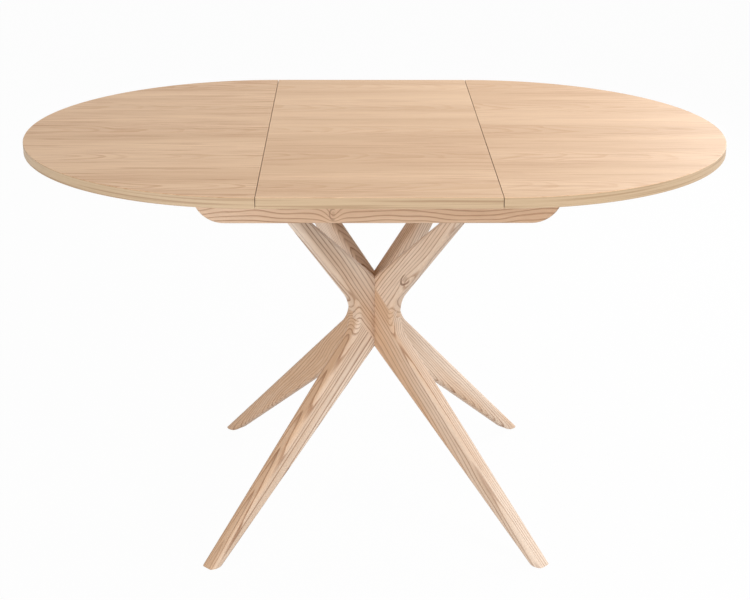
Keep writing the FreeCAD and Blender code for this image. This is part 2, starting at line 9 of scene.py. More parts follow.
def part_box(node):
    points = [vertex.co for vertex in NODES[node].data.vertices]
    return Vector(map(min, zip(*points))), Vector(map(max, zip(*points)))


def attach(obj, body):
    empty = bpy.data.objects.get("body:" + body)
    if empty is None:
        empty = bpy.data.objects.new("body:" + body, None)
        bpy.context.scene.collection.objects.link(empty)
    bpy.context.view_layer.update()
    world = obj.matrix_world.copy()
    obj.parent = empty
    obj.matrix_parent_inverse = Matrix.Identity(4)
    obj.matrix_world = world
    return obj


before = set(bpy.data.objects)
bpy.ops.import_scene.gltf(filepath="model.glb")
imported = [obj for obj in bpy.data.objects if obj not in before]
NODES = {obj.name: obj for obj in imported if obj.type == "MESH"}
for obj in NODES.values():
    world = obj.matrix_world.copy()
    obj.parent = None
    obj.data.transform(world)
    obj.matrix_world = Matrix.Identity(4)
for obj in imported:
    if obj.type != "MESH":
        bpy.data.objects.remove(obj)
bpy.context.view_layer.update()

bl_info = {
    "name": "Butterfly Leaf Table",
    "version": (1, 0, 0),
    "blender": (4, 5, 0),
    "location": "3D View > Sidebar > Table",
    "description": "Dresses an extending ash table with a folding leaf and sets it on a pale floor",
    "category": "Object",
}

TOP_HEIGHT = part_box("left_top")[1].z
TOP_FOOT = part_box("left_top")[0].z
CORNER_AZIMUTHS = {"front_left": 225, "front_right": 315, "rear_right": 45, "rear_left": 135}
HANDS = ("left", "right")
DEPTHS = ("front", "rear")
UP = Vector((0, 0, 1))
DOWN = Vector((0, 0, -1))
INWARD = {"left": Vector((1, 0, 0)), "right": Vector((-1, 0, 0))}
WHITE = (1, 1, 1, 1)


# Settings that a user would change
def colour_property(label, text, default):
    return bpy.props.FloatVectorProperty(
        name=label, description=text, default=default, size=3, subtype="COLOR", min=0, max=1)


def length_property(label, text, default):
    return bpy.props.FloatProperty(
        name=label, description=text, default=default, min=0, unit="LENGTH", precision=5)


def angle_property(label, text, default):
    return bpy.props.FloatProperty(name=label, description=text, default=default, subtype="ANGLE")


def share_property(label, text, default):
    return bpy.props.FloatProperty(
        name=label, description=text, default=default, min=0, max=1, subtype="FACTOR")


def power_property(label, text, default):
    return bpy.props.FloatProperty(name=label, description=text, default=default, min=0, unit="POWER")


class AshLook(bpy.types.PropertyGroup):
    """Colours and ring sizes of the ash."""

    limb_pale: colour_property("Limb pale", "Late wood of the solid limbs", (0.765, 0.625, 0.505))
    limb_tan: colour_property("Limb tan", "Deeper tone that drifts through the limbs", (0.605, 0.400, 0.255))
    limb_line: colour_property("Limb line", "Open-pored early wood lines", (0.24, 0.100, 0.040))
    rail_pale: colour_property("Rail pale", "Late wood of the apron rails", (0.690, 0.505, 0.360))
    rail_tan: colour_property("Rail tan", "Deeper tone that drifts through the rails", (0.605, 0.410, 0.270))
    rail_line: colour_property("Rail line", "Early wood lines of the apron rails", (0.27, 0.13, 0.065))
    veneer_pale: colour_property("Veneer pale", "Palest tone of the top", (0.785, 0.535, 0.335))
    veneer_tan: colour_property("Veneer tan", "Deeper tone of the top", (0.668, 0.430, 0.254))
    veneer_line: colour_property("Veneer line", "Grain lines of the top", (0.41, 0.178, 0.072))
    lipping_pale: colour_property("Lipping pale", "Solid edge round the top", (0.520, 0.380, 0.243))
    lipping_line: colour_property("Lipping line", "Grain lines of the solid edge", (0.35, 0.225, 0.13))
    knot: colour_property("Knot", "Heart and bark of a knot", (0.17, 0.075, 0.035))
    limb_ring: length_property("Limb ring", "Width of a growth ring in the limbs", 0.0040)
    rail_ring: length_property("Rail ring", "Width of a growth ring in the rails", 0.0078)
    veneer_ring: length_property("Veneer ring", "Width of a growth ring in the veneer", 0.0034)
    veneer_leaf: length_property("Veneer leaf", "Width of one leaf of veneer", 0.19)
    leg_angle: angle_property("Leg angle", "Angle of a leg to the floor", math.radians(43.7))
    arm_angle: angle_property("Arm angle", "Angle of an arm to the floor", math.radians(50.3))
    roughness: share_property("Roughness", "Roughness of the matt lacquer", 0.52)


class FittingLook(bpy.types.PropertyGroup):
    """Colours of the hidden frame and the fittings."""

    beech_pale: colour_property("Beech pale", "Frame and slides", (0.60, 0.40, 0.255))
    beech_fleck: colour_property("Beech fleck", "Flecks and streaks in the beech", (0.44, 0.265, 0.155))
    steel: colour_property("Steel", "Zinc-plated steel of the linkage", (0.56, 0.57, 0.58))
    steel_dull: colour_property("Dull steel", "Duller patches of the plating", (0.40, 0.41, 0.43))
    brass: colour_property("Brass", "Pinions and hinge barrels", (0.72, 0.52, 0.23))
    brass_dull: colour_property("Dull brass", "Tarnish on the brass", (0.46, 0.31, 0.13))
    felt: colour_property("Felt", "Pads under the feet", (0.23, 0.205, 0.185))
    felt_pale: colour_property("Pale felt", "Loose fibres of the pads", (0.36, 0.33, 0.30))
    screw_radius: length_property("Screw head", "Radius of a screw head", 0.0026)
    screw_rise: length_property("Screw rise", "Height of a screw head", 0.0014)


class StageLook(bpy.types.PropertyGroup):
    """Floor, light and camera."""

    floor: colour_property("Floor", "Colour of the floor", (0.64, 0.64, 0.64))
    floor_radius: length_property("Floor radius", "Reach of the floor", 40.0)
    floor_glow: share_property("Floor glow", "Share of plain white that the camera sees", 0.97)
    ambient: bpy.props.FloatProperty(
        name="Ambient", description="Strength of the light from all round", default=0.40, min=0)
    key_power: power_property("Key", "Soft light from the front right", 70)
    fill_power: power_property("Fill", "Low soft light from the front left", 92)
    sheen_power: power_property("Sheen", "Soft light from behind on the right", 64)
    focal_length: bpy.props.FloatProperty(
        name="Focal length", description="Lens in millimetres on a 36 mm sensor", default=74.02)
    camera_place: bpy.props.FloatVectorProperty(
        name="Camera place", description="Where the camera stands", size=3, subtype="TRANSLATION",
        default=(-0.0486, -2.8246, 1.4485))
    camera_pitch: angle_property("Pitch", "How far the camera looks down", 0.3511)
    camera_yaw: angle_property("Yaw", "How far the camera looks to the right", 0.0176)
    camera_roll: angle_property("Roll", "How far the camera leans", 0.0043)


# Shader maths as Python expressions
class Wire:
    """An output socket that takes part in sums: each operator adds a Math node."""

    def __init__(self, finish, socket):
        self.finish = finish
        self.socket = socket

    def maths(self, operation, *values):
        sockets = dict(enumerate(values))
        return self.finish.add("ShaderNodeMath", {"operation": operation}, sockets)

    def __add__(self, other):
        return self.maths("ADD", self, other)

    def __radd__(self, other):
        return self.maths("ADD", other, self)

    def __sub__(self, other):
        return self.maths("SUBTRACT", self, other)

    def __rsub__(self, other):
        return self.maths("SUBTRACT", other, self)

    def __mul__(self, other):
        return self.maths("MULTIPLY", self, other)

    def __rmul__(self, other):
        return self.maths("MULTIPLY", other, self)

    def __truediv__(self, other):
        return self.maths("DIVIDE", self, other)

    def __rtruediv__(self, other):
        return self.maths("DIVIDE", other, self)

    def __pow__(self, other):
        return self.maths("POWER", self, other)

    def fraction(self):
        return self.maths("FRACT", self)

    def whole(self):
        return self.maths("FLOOR", self)

    def nearest(self):
        return (self + 0.5).whole()

    def larger(self, other):
        return self.maths("MAXIMUM", self, other)

    def smooth(self, low, high):
        """0 below low, 1 above high and an even curve between."""
        settings = {"interpolation_type": "SMOOTHSTEP"}
        return self.finish.add("ShaderNodeMapRange", settings, {0: self, 1: low, 2: high})


# Noise over a board: its repeats per metre along, across and up, its detail, the two values between which
# its marks fade in, and its roughness
Pattern = collections.namedtuple(
    "Pattern", "along across up detail low high roughness", defaults=(0, 1, 0.5))
NOISE_MIDDLE = 0.5
BUMP_STRENGTH = 0.25


class Finish:
    """The nodes of one material, or of the world."""

    def __init__(self, owner):
        self.owner = owner
        owner.use_nodes = True
        self.tree = owner.node_tree
        self.tree.nodes.clear()

    def add(self, kind, settings=None, sockets=None, output=0):
        """Adds a node, sets it up, fills its sockets and gives one of its outputs."""
        node = self.tree.nodes.new(kind)
        for name, value in (settings or {}).items():
            setattr(node, name, value)
        for key, value in (sockets or {}).items():
            if isinstance(value, Wire):
                self.tree.links.new(value.socket, node.inputs[key])
            else:
                node.inputs[key].default_value = value
        return Wire(self, node.outputs[output]) if node.outputs else None

    def board(self, turn=(0, 0, 0), place=(0, 0, 0)):
        """Object coordinates turned so that X runs along the grain."""
        spot = self.add("ShaderNodeTexCoord", output="Object")
        sockets = {"Vector": spot, "Rotation": turn, "Location": place}
        return self.add("ShaderNodeMapping", {"vector_type": "POINT"}, sockets)

    def stretch(self, vector, along, across, up):
        sockets = {0: vector, 1: (along, across, up)}
        return self.add("ShaderNodeVectorMath", {"operation": "MULTIPLY"}, sockets)

    def split(self, vector):
        first = self.add("ShaderNodeSeparateXYZ", sockets={0: vector})
        return [Wire(self, socket) for socket in first.socket.node.outputs]

    def join(self, x, y, z):
        return self.add("ShaderNodeCombineXYZ", sockets={0: x, 1: y, 2: z})

    def noise(self, board, pattern):
        """Noise of the pattern's size, from 0 to 1."""
        sockets = {
            "Vector": self.stretch(board, pattern.along, pattern.across, pattern.up),
            "Scale": 1.0,
            "Detail": pattern.detail,
            "Roughness": pattern.roughness,
        }
        return self.add("ShaderNodeTexNoise", {"noise_dimensions": "3D"}, sockets)

    def sway(self, board, pattern):
        """Noise that wanders to both sides of 0."""
        return self.noise(board, pattern) - NOISE_MIDDLE

    def marks(self, board, pattern):
        """1 where the noise is high, 0 where it is low."""
        return self.noise(board, pattern).smooth(pattern.low, pattern.high)

    def chance(self, number):
        return self.add("ShaderNodeTexWhiteNoise", {"noise_dimensions": "1D"}, {"W": number})

    def blend(self, share, first, second):
        """Mixes two colours: sockets 6 and 7 and output 2 of a Mix node are its colours."""
        def full(value):
            return value if isinstance(value, Wire) else (*value, 1.0)

        settings = {"data_type": "RGBA"}
        return self.add("ShaderNodeMix", settings, {0: share, 6: full(first), 7: full(second)}, output=2)

    def close(self, colour, roughness, height, depth, strength=BUMP_STRENGTH, fixed=None):
        """Ends a material in one Principled shader, with bump from a height."""
        bump = {"Height": height, "Distance": depth, "Strength": strength}
        sockets = {"Base Color": colour, "Roughness": roughness, **(fixed or {})}
        sockets["Normal"] = self.add("ShaderNodeBump", sockets=bump)
        surface = self.add("ShaderNodeBsdfPrincipled", sockets=sockets)
        self.add("ShaderNodeOutputMaterial", sockets={"Surface": surface})
        return self.owner


def new_finish(name):
    return Finish(bpy.data.materials.new(name))


def paler(tone, gain):
    return [min(1, part * gain) for part in tone]


def dress(name, material):
    slots = NODES[name].data.materials
    slots.clear()
    slots.append(material)


# How a board was cut from the log, in metres: the pith's place across the board and inwards, how strongly
# the rings bow across and inwards, how fast they climb along the board, how far they stray and how often,
# and the share of each ring that is dark early wood; then the tone at the outer face, partly the wood's
# own tan and partly painted shade (tanner) and painted light (paler), and how fast painted shade grows
# across, inwards and along, which paints one face or end lit and another shaded
Grain = collections.namedtuple(
    "Grain",
    "across inward bow_across bow_inward climb stray waves early warm warm_across warm_inward warm_along",
    defaults=(0, 0, 0, 0))

# A knot on a board: its place along and up the face, its half width and half height, how many rings it
# bends and how dark it is
Knot = collections.namedtuple("Knot", "along up half_width half_height rings heart")

# The lacquered surface: how much smoother it is than the plain lacquer and how much rougher in the lines,
# how far lines and pores sink, and the bump's depth and strength
Relief = collections.namedtuple("Relief", "smoother line_roughness line_depth pore_depth depth strength")

# Matt lacquer keeps little mirror shine
LACQUER = {"Specular IOR Level": 0.32}

# What bends the growth rings and by how many rings, where the early wood lies in a ring, and its pores
WAVES_ACROSS = 9
SWING_RATIO = 1.7
RIPPLES = Pattern(16, 60, 60, 1)
RIPPLE_RINGS = 0.3
STRAYS = Pattern(0.8, 70, 70, 0)
STRAY_RINGS = 0.5
EARLY_START = 0.92
EARLY_FULL = 0.88
EARLY_END = (0.91, 1.0)
FAINTEST_LINE = 0.5
PORES = Pattern(38, 950, 950, 1, 0.50, 0.66)

# Heart and bark of a knot, in shares of its size
KNOT_SPREAD = 0.35
HEART_FADE = (0.05, 0.35)
HEART_SHARE = 0.45
BARK_REACH = 0.8
BARK_FADE = (0.01, 0.16)
BARK_END = (-0.1, 0.7)

# Solid ash
DRIFT = Pattern(2.5, 24, 24, 2, 0.32, 0.78)
SILK = Pattern(16, 620, 620, 2, 0.45, 0.80)
SILK_SHARE = 0.30
SILK_GAIN = 1.16
LINE_SHARE = 0.9
LINE_GAPS = 0.2
PORE_SHARE = 0.10
SOLID_RELIEF = Relief(0.05, 0.14, 0.45, 0.40, 0.0004, 0.25)


def knot_marks(along, inward, knot):
    """How far a knot bends the rings, and the dark of its heart and of the bark round one side."""
    aside = (along - knot.along) / knot.half_width
    reach = aside ** 2 + ((inward - knot.up) / knot.half_height) ** 2
    bend = knot.rings / (1 + reach * KNOT_SPREAD)
    heart = (1 - reach.smooth(*HEART_FADE)) * HEART_SHARE
    bark = 1 - ((reach - BARK_REACH) ** 2).smooth(*BARK_FADE)
    bark = bark * (1 - aside.smooth(*BARK_END))
    return bend, heart.larger(bark) * knot.heart


def ash_rings(finish, board, grain, ring, knots=()):
    """Growth rings cut by the surface: the early wood lines, the open pores and the dark of the knots."""
    along, across, inward = finish.split(board)
    waves = Pattern(grain.waves, WAVES_ACROSS, WAVES_ACROSS, 1)
    bend = finish.sway(board, waves)
    swing = finish.sway(finish.stretch(board, SWING_RATIO, SWING_RATIO, SWING_RATIO), waves)
    aside = (across - grain.across) * grain.bow_across + bend * grain.stray
    behind = (inward - grain.inward) * grain.bow_inward + along * grain.climb + swing * grain.stray
    rings = (aside ** 2 + behind ** 2) ** 0.5 / ring + finish.sway(board, RIPPLES) * RIPPLE_RINGS
    dark = None
    for knot in knots:
        bent, mark = knot_marks(along, inward, knot)
        rings = rings + bent
        dark = mark if dark is None else dark.larger(mark)
    rings = rings + finish.noise(board, STRAYS) * STRAY_RINGS
    phase = rings.fraction()
    line = phase.smooth(EARLY_START - grain.early, EARLY_FULL) * (1 - phase.smooth(*EARLY_END))
    line = line * (FAINTEST_LINE + (1 - FAINTEST_LINE) * finish.chance(rings.whole()))
    return line, finish.marks(board, PORES), dark


def lacquered(finish, look, colour, line, pores, relief):
    """Ends a material in matt lacquer, which sinks into the lines and pores."""
    roughness = look.roughness - relief.smoother + relief.line_roughness * line
    height = 1 - line * relief.line_depth - pores * relief.pore_depth
    return finish.close(colour, roughness, height, relief.depth, relief.strength, LACQUER)


def solid_ash(name, look, tones, ring, turn, place, grain, knots=()):
    """Solid ash with open pores, its grain along the member."""
    pale, tan, deep = tones
    finish = new_finish(name)
    board = finish.board(turn, place)
    line, pores, dark = ash_rings(finish, board, grain, ring, knots)
    along, across, inward = finish.split(board)
    # Random drift in tone, plus painted shade and painted light from the grain's tone and its slopes across,
    # inwards and along
    drift_and_shade = finish.marks(board, DRIFT) + grain.warm + across * grain.warm_across
    drift_and_shade = drift_and_shade + inward * grain.warm_inward + (along - place[0]) * grain.warm_along
    colour = finish.blend(drift_and_shade, pale, tan)
    colour = finish.blend(finish.marks(board, SILK) * SILK_SHARE, colour, paler(pale, SILK_GAIN))
    colour = finish.blend(line * (1 - LINE_GAPS + LINE_GAPS * pores) * LINE_SHARE, colour, deep)
    colour = finish.blend(pores * PORE_SHARE, colour, deep)
    if dark is not None:
        colour = finish.blend(dark, colour, look.knot)
    return lacquered(finish, look, colour, line, pores, SOLID_RELIEF)


# Each limb is cut from a board of its own: inwards is measured from the middle of its outer face, and the
# boards lie a step apart in the noise
LIMB_STEP = 0.37
# The last numbers of a grain paint light and shade as well as tone: the front right leg's outer face is
# painted pale as if lit, the front left leg's side face is painted paler, the rear left leg darker as if in
# shade and the left front arm paler along its length
LIMB_GRAINS = {
    "leg_front_left": Grain(0.002, 0.052, 1.7, 1.10, -0.036, 0.005, 2.2, 0.42, 0.85, -46, -12, 1.3),
    "arm_front_left": Grain(-0.006, 0.090, 1.5, 0.66, 0.020, 0.008, 2.0, 0.40, 0.48, warm_along=-1.9),
    "leg_front_right": Grain(0.045, 0.090, 1.3, 0.90, 0.022, 0.012, 3.0, 0.38, -0.50, -32, 10, -0.8),
    "arm_front_right": Grain(0.030, 0.080, 0.8, 0.66, 0.030, 0.014, 3.0, 0.38, 0.25),
    "leg_rear_right": Grain(-0.046, 0.060, 1.0, 0.85, 0.050, 0.018, 2.6, 0.40),
    "arm_rear_right": Grain(0.065, 0.050, 1.0, 1.2, 0.020, 0.010, 2.0, 0.42),
    "leg_rear_left": Grain(0.050, 0.055, 1.0, 0.80, 0.075, 0.034, 3.4, 0.30, 0.80),
    "arm_rear_left": Grain(0.012, 0.080, 1.6, 1.0, 0.025, 0.010, 2.0, 0.42),
}

# A limb's knot: its place in the table's frame, then its sizes, rings and dark as in Knot
LIMB_KNOTS = {"arm_front_right": (Vector((0.0565, -0.079, 0.484)), 0.017, 0.0080, 1.1, 0.75)}


def board_axes(azimuth, angle):
    """Rows of the turn that lays a sloping member along X, with its width on Y."""
    around = math.radians(azimuth)
    level = Vector((math.cos(around), math.sin(around), 0))
    along = level * math.cos(angle) + UP * math.sin(angle)
    across = UP.cross(level)
    return Matrix((along, across, along.cross(across)))


class TABLE_OT_dress_limbs(bpy.types.Operator):
    """Give each leg and arm ash of its own, with the grain along the limb"""

    bl_idname = "table.dress_limbs"
    bl_label = "Dress Limbs"

    def execute(self, context):
        look = context.scene.table_ash
        tones = (look.limb_pale, look.limb_tan, look.limb_line)
        for index, (name, grain) in enumerate(LIMB_GRAINS.items()):
            kind, corner = name.split("_", 1)
            outward = 1 if kind == "leg" else -1
            angle = -look.leg_angle if kind == "leg" else look.arm_angle
            axes = board_axes(CORNER_AZIMUTHS[corner], angle)
            face = max((axes @ vertex.co).z * outward for vertex in NODES[name].data.vertices)
            place = Vector((LIMB_STEP * index, 0, -face * outward))
            # Arms face the other way, so the pith's depth, the climb and the painted shade inwards turn
            # round
            cut = grain._replace(
                inward=-grain.inward * outward, climb=grain.climb * outward,
                warm_inward=-grain.warm_inward * outward)
            knots = []
            if name in LIMB_KNOTS:
                spot, *sizes = LIMB_KNOTS[name]
                middle = axes @ spot + place
                knots.append(Knot(middle.x, middle.z, *sizes))
            material = solid_ash(
                "ash_" + name, look, tones, look.limb_ring, axes.to_euler(), place, cut, knots)
            dress(name, material)
        return {"FINISHED"}


# The rail's tone deepens along it: painted shade towards the right end of each rail as seen from its own
# side
RAIL_GRAIN = Grain(0.030, -0.075, 1.0, 1.0, 0.012, 0.034, 4.6, 0.38, warm_along=2.4)
RAIL_KNOTS = (Knot(-0.076, -0.017, 0.007, 0.011, 2.2, 0.5), Knot(0.150, -0.010, 0.034, 0.014, 1.3, 0.0))


class TABLE_OT_dress_rails(bpy.types.Operator):
    """Give the apron rails wavy ash along their length"""

    bl_idname = "table.dress_rails"
    bl_label = "Dress Rails"

    def execute(self, context):
        look = context.scene.table_ash
        tones = (look.rail_pale, look.rail_tan, look.rail_line)
        for depth, turn in (("front", 0), ("rear", math.pi)):
            low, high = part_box(f"{depth}_rail")
            face = low.y if depth == "front" else -high.y
            place = (0, -face, -(low.z + high.z) / 2)
            material = solid_ash(
                f"ash_{depth}_rail", look, tones, look.rail_ring, (0, 0, turn), place,
                RAIL_GRAIN, RAIL_KNOTS)
            dress(f"{depth}_rail", material)
        return {"FINISHED"}


# How marked the grain lines of each top are, and how far apart the tops lie in the noise
VENEER_MARKED = {"left_top": 1.3, "right_top": 0.80, "front_leaf": 0.80, "rear_leaf": 0.55}
VENEER_STEP = 1.9

# Veneer: the crown figure of each leaf, how far a leaf is shifted along from the one beside it, and the
# squares of the distances from a leaf's middle between which the figure fades out
VENEER_GRAIN = Grain(0.0, -0.10, 1.0, 1.0, 0.050, 0.010, 4.5, 0.50)
LEAF_STEP = 0.23
LEAF_JITTER = 0.3
CROWN_FADE = (0.045 ** 2, 0.085 ** 2)
CROWN_GAPS = 0.5

# Veneer: its bands, lines and flecks. A pair of shares is the share all over and what a patch adds
BANDS = Pattern(0.7, 10, 0, 2, 0.34, 0.66)
PATCHES = Pattern(2.6, 9, 0, 1, 0.38, 0.62)
STREAKS = Pattern(4.5, 165, 0, 3, 0.52, 0.70)
STREAK_SHARES = (0.14, 0.10)
THREADS = Pattern(1.5, 95, 0, 2)
THREAD_FADE = (0.0, 0.0010)
THREAD_BREAKS = Pattern(5, 44, 0, 1, 0.40, 0.56)
THREAD_SHARE = 0.46
CROWN_SHARES = (0.18, 0.34)
DASHES = Pattern(8, 430, 0, 2, 0.56, 0.70)
DASH_SHARES = (0.18, 0.20)
VENEER_PORE_SHARE = 0.05
FLECKS = Pattern(55, 260, 0, 1, 0.64, 0.76)
FLECK_SHARE = 0.22
FLECK_GAIN = 1.2
VENEER_RELIEF = Relief(0.04, 0.10, 0.30, 0.30, 0.0002, 0.15)

# Solid edge, in metres: how far below the top face it starts and its glue joint ends, and how it fades out
# at the foot; then its grain
EDGE_START = (0.0012, 0.0004)
JOINT_END = (0.0018, 0.0011)
FOOT_FADE = 0.0006
LIPPING_LINES = Pattern(2.2, 2.2, 250, 2, 0.46, 0.62)
LIPPING_LINE_SHARE = 0.80
LIPPING_FIBRES = Pattern(14, 14, 1500, 1, 0.5, 0.7)
LIPPING_FIBRE_SHARE = 0.2
JOINT_SHARE = 0.45


def veneer_sheet(finish, look, board, offset, marked):
    """Colour of crown-cut veneer in leaves laid side by side, with its lines and pores."""
    along, across, _ = finish.split(board)
    leaf = (across / look.veneer_leaf).nearest()
    centre = across - leaf * look.veneer_leaf
    shifted = along + leaf * LEAF_STEP + finish.chance(leaf) * LEAF_JITTER
    grain = VENEER_GRAIN._replace(inward=VENEER_GRAIN.inward + offset * VENEER_GRAIN.climb)
    line, pores, _ = ash_rings(finish, finish.join(shifted, centre, 0), grain, look.veneer_ring)
    patch = finish.marks(board, PATCHES)

    def patchy(least, more):
        return least + more * patch

    thread = 1 - (finish.sway(board, THREADS) ** 2).smooth(*THREAD_FADE)
    crown = line * (1 - CROWN_GAPS + CROWN_GAPS * pores) * (1 - (centre ** 2).smooth(*CROWN_FADE))
    drawn = (
        finish.marks(board, STREAKS) * patchy(*STREAK_SHARES),
        thread * finish.marks(board, THREAD_BREAKS) * THREAD_SHARE,
        crown * patchy(*CROWN_SHARES),
        finish.marks(board, DASHES) * patchy(*DASH_SHARES),
    )
    colour = finish.blend(finish.marks(board, BANDS), look.veneer_pale, look.veneer_tan)
    for share in drawn:
        colour = finish.blend(share * marked, colour, look.veneer_line)
    colour = finish.blend(pores * VENEER_PORE_SHARE, colour, look.veneer_line)
    flecks = finish.marks(board, FLECKS) * FLECK_SHARE
    return finish.blend(flecks, colour, paler(look.veneer_pale, FLECK_GAIN)), line, pores


def lipping(finish, look, board, veneer):
    """Puts the solid edge and its glue joint round the colour of the veneer."""
    height = finish.split(board)[2]
    below = 1 - height.smooth(*(TOP_HEIGHT - drop for drop in EDGE_START))
    edge = below * height.smooth(TOP_FOOT, TOP_FOOT + FOOT_FADE)
    joint = below * height.smooth(*(TOP_HEIGHT - drop for drop in JOINT_END))
    lines = finish.marks(board, LIPPING_LINES) * LIPPING_LINE_SHARE
    fibres = finish.marks(board, LIPPING_FIBRES) * LIPPING_FIBRE_SHARE
    rim = finish.blend(lines, look.lipping_pale, look.lipping_line)
    rim = finish.blend(fibres, rim, look.lipping_line)
    colour = finish.blend(edge, veneer, rim)
    return finish.blend(joint * JOINT_SHARE, colour, look.lipping_line)


def veneered_ash(name, look, offset, marked):
    """Crown-cut veneer with a solid edge."""
    finish = new_finish(name)
    board = finish.board(place=(offset, 0, 0))
    veneer, line, pores = veneer_sheet(finish, look, board, offset, marked)
    colour = lipping(finish, look, board, veneer)
    return lacquered(finish, look, colour, line, pores, VENEER_RELIEF)


class TABLE_OT_dress_tops(bpy.types.Operator):
    """Give the two tops and the leaf their veneer and solid edge"""

    bl_idname = "table.dress_tops"
    bl_label = "Dress Tops"

    def execute(self, context):
        look = context.scene.table_ash
        for index, (name, marked) in enumerate(VENEER_MARKED.items()):
            dress(name, veneered_ash("veneer_" + name, look, VENEER_STEP * index, marked))
        return {"FINISHED"}


# Beech of the frame. Its roughness is the plain wood's and what a fleck adds
BEECH_FLECKS = Pattern(130, 900, 900, 1, 0.58, 0.68)
BEECH_FLECK_SHARE = 0.5
BEECH_FLECK_DEPTH = 0.5
BEECH_STREAKS = Pattern(3, 130, 130, 3, 0.40, 0.70)
BEECH_STREAK_SHARE = 0.45
BEECH_ROUGHNESS = (0.58, 0.10)
BEECH_DEPTH = 0.0002


def frame_beech(name, look, turn):
    """Plain beech with its short brown flecks."""
    finish = new_finish(name)
    board = finish.board(turn)
    fleck = finish.marks(board, BEECH_FLECKS)
    streak = finish.marks(board, BEECH_STREAKS)
    colour = finish.blend(streak * BEECH_STREAK_SHARE, look.beech_pale, look.beech_fleck)
    colour = finish.blend(fleck * BEECH_FLECK_SHARE, colour, look.beech_fleck)
    plain, more = BEECH_ROUGHNESS
    return finish.close(colour, plain + more * fleck, 1 - fleck * BEECH_FLECK_DEPTH, BEECH_DEPTH)


class TABLE_OT_dress_frame(bpy.types.Operator):
    """Give the bearers, cross rails, rests, slides and runners their beech"""

    bl_idname = "table.dress_frame"
    bl_label = "Dress Frame"

    def execute(self, context):
        look = context.scene.table_fitting
        lengthways = frame_beech("beech_lengthways", look, (0, 0, 0))
        crossways = frame_beech("beech_crossways", look, (0, 0, math.pi / 2))
        for depth in DEPTHS:
            for kind in ("bearer", "stow_rest", "centre_slide"):
                dress(f"{depth}_{kind}", lengthways)
            for hand in HANDS:
                dress(f"{hand}_{depth}_runner", lengthways)
        for hand in HANDS:
            dress(f"{hand}_cross_rail", crossways)
        return {"FINISHED"}


# Plated metal, and the felt of the glides
METAL = {"Metallic": 1.0}
DULL_PATCHES = Pattern(70, 70, 70, 3, 0.40, 0.66)
DULL_SHARE = 0.55
DULL_ROUGHNESS = 0.16
DRAWN_LINES = Pattern(120, 2600, 2600, 1)
DRAWN_ROUGHNESS = 0.08
DRAWN_DEPTH = 0.00005
STEEL_ROUGHNESS = 0.30
BRASS_ROUGHNESS = 0.28
FELT_FIBRES = Pattern(900, 900, 900, 4, 0.4, 0.7, roughness=0.7)
FELT_ROUGHNESS = 0.95
FELT_DEPTH = 0.0004
FELT_STRENGTH = 0.6


def plated_metal(name, bright, dull, roughness):
    """Plated metal with dull patches and fine drawing lines."""
    finish = new_finish(name)
    board = finish.board()
    patch = finish.marks(board, DULL_PATCHES)
    lines = finish.noise(board, DRAWN_LINES)
    colour = finish.blend(patch * DULL_SHARE, bright, dull)
    roughness = roughness + DULL_ROUGHNESS * patch + DRAWN_ROUGHNESS * lines
    return finish.close(colour, roughness, lines, DRAWN_DEPTH, fixed=METAL)


def pressed_felt(look):
    """Felt with loose pale fibres."""
    finish = new_finish("pressed_felt")
    fibre = finish.noise(finish.board(), FELT_FIBRES)
    colour = finish.blend(fibre.smooth(FELT_FIBRES.low, FELT_FIBRES.high), look.felt, look.felt_pale)
    return finish.close(colour, FELT_ROUGHNESS, fibre, FELT_DEPTH, FELT_STRENGTH)


class TABLE_OT_dress_fittings(bpy.types.Operator):
    """Give the racks, pinions, linkage and hinges their metal, and the glides their felt"""

    bl_idname = "table.dress_fittings"
    bl_label = "Dress Fittings"

    def execute(self, context):
        look = context.scene.table_fitting
        steel = plated_metal("zinc_plated_steel", look.steel, look.steel_dull, STEEL_ROUGHNESS)
        brass = plated_metal("hinge_brass", look.brass, look.brass_dull, BRASS_ROUGHNESS)
        for depth in DEPTHS:
            dress(f"{depth}_pinion", brass)
            dress(f"{depth}_centre_slide_axle", steel)
            dress(f"{depth}_swing_yoke", steel)
            dress(f"{depth}_leaf_hinge_barrels", brass)
            for hand in HANDS:
                dress(f"{hand}_{depth}_rack", steel)
                dress(f"{depth}_{hand}_bracket", steel)
        for hand in HANDS:
            dress(f"{hand}_pivot_plate", steel)
        felt = pressed_felt(look)
        for corner in CORNER_AZIMUTHS:
            dress(f"glide_{corner}", felt)
        return {"FINISHED"}


# Screw heads: the steps of a pan head as shares of its radius inwards and its rise upwards, the height and
# taper of its flank, and how far it sinks into what it holds
SCREW_SIDES = 20
PAN_STEPS = ((0.26, 0.30), (0.28, 0.10), (0.04, -0.60))
PAN_FLANK = 0.60
PAN_TAPER = 0.94
SCREW_SINK = 0.0002

# Places of the screws in metres, or as shares of a length
RACK_SCREWS = (0.08, 0.36, 0.64, 0.92)
RACK_MARGIN = 0.004
RUNNER_SCREWS = (0.14, 0.50, 0.86)
RUNNER_MARGIN = 0.008
BRACKET_MARGIN = 0.016
BRACKET_STEP = 0.012
BRACKET_FLANGE = 0.003
BEARER_MARGIN = 0.017
BEARER_STEP = 0.013
PLATE_SCREWS = (0.063, 0.088)
PLATE_MARGIN = 0.0035
PLATE_THICKNESS = 0.002


